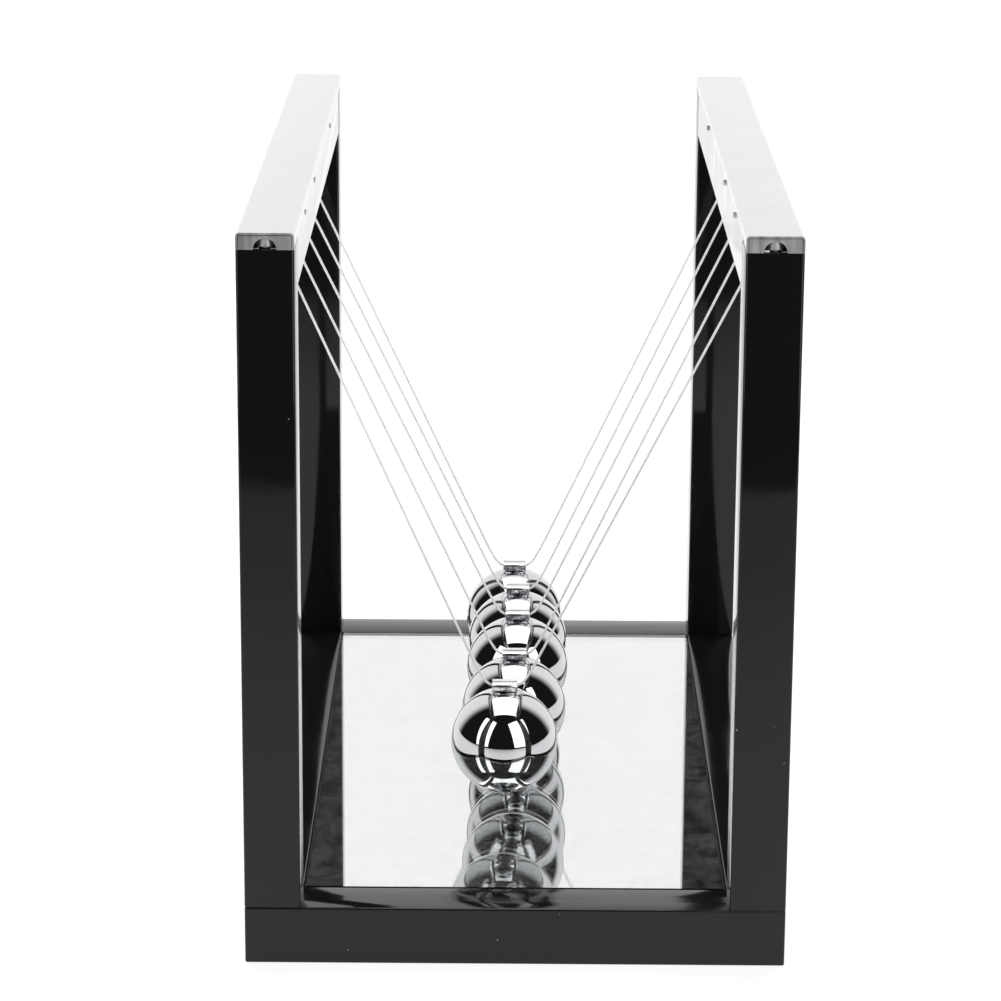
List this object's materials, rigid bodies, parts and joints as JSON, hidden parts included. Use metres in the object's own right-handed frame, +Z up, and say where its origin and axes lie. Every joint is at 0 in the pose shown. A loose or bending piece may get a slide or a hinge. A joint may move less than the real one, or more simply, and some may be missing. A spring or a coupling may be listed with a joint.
{
  "type": "newtons cradle",
  "caption": "Desk momentum toy: steel balls hang in a row on nylon lines between two bright top channels, in a black four-post frame with a mirror set into its base.",
  "frame": {"origin": "middle of the base's underside", "axes": "+Z up, +Y from the front posts to the back posts along the row of balls, +X across the row towards the right posts"},
  "size_m": [0.106, 0.187, 0.146],
  "materials": {
    "black_lacquer": "gloss black lacquer over board",
    "clear_glass": "polished float glass",
    "silvering": "silvered, with a painted back",
    "bright_sheet_steel": "bright plated folded sheet",
    "plated_screw_steel": "bright zinc plate",
    "polished_ball_steel": "mirror polished",
    "folded_clip_steel": "bright folded strip, spot welded",
    "clear_nylon": "clear drawn monofilament"
  },
  "bodies": {
    "frame": {"base": "black_lacquer", "mirror_glass": "clear_glass", "mirror_backing": "silvering", "post_front_left": "black_lacquer", "post_front_right": "black_lacquer", "post_back_left": "black_lacquer", "post_back_right": "black_lacquer", "channel_left": "bright_sheet_steel", "channel_right": "bright_sheet_steel", "rail_left": "black_lacquer", "rail_right": "black_lacquer", "channel_pins": "plated_screw_steel", "channel_screws": "plated_screw_steel", "base_screws": "plated_screw_steel", "line_knots_left": "clear_nylon", "line_knots_right": "clear_nylon"},
    "pendulum_1": {"ball_1": "polished_ball_steel", "clip_1": "folded_clip_steel", "line_1": "clear_nylon"},
    "pendulum_2": {"ball_2": "polished_ball_steel", "clip_2": "folded_clip_steel", "line_2": "clear_nylon"},
    "pendulum_3": {"ball_3": "polished_ball_steel", "clip_3": "folded_clip_steel", "line_3": "clear_nylon"},
    "pendulum_4": {"ball_4": "polished_ball_steel", "clip_4": "folded_clip_steel", "line_4": "clear_nylon"},
    "pendulum_5": {"ball_5": "polished_ball_steel", "clip_5": "folded_clip_steel", "line_5": "clear_nylon"}
  },
  "joints": [
    {"name": "ball_1_swing", "type": "hinge", "parent": "frame", "child": "pendulum_1", "pos_m": [0, -0.0446, 0.1344], "axis": [1, 0, 0], "range_deg": [-60, 0]},
    {"name": "ball_2_swing", "type": "hinge", "parent": "frame", "child": "pendulum_2", "pos_m": [0, -0.0223, 0.1344], "axis": [1, 0, 0], "range_deg": [-0.14, 0.14]},
    {"name": "ball_3_swing", "type": "hinge", "parent": "frame", "child": "pendulum_3", "pos_m": [0, 0, 0.1344], "axis": [1, 0, 0], "range_deg": [-0.14, 0.14]},
    {"name": "ball_4_swing", "type": "hinge", "parent": "frame", "child": "pendulum_4", "pos_m": [0, 0.0223, 0.1344], "axis": [1, 0, 0], "range_deg": [-0.14, 0.14]},
    {"name": "ball_5_swing", "type": "hinge", "parent": "frame", "child": "pendulum_5", "pos_m": [0, 0.0446, 0.1344], "axis": [1, 0, 0], "range_deg": [0, 60]}
  ]
}
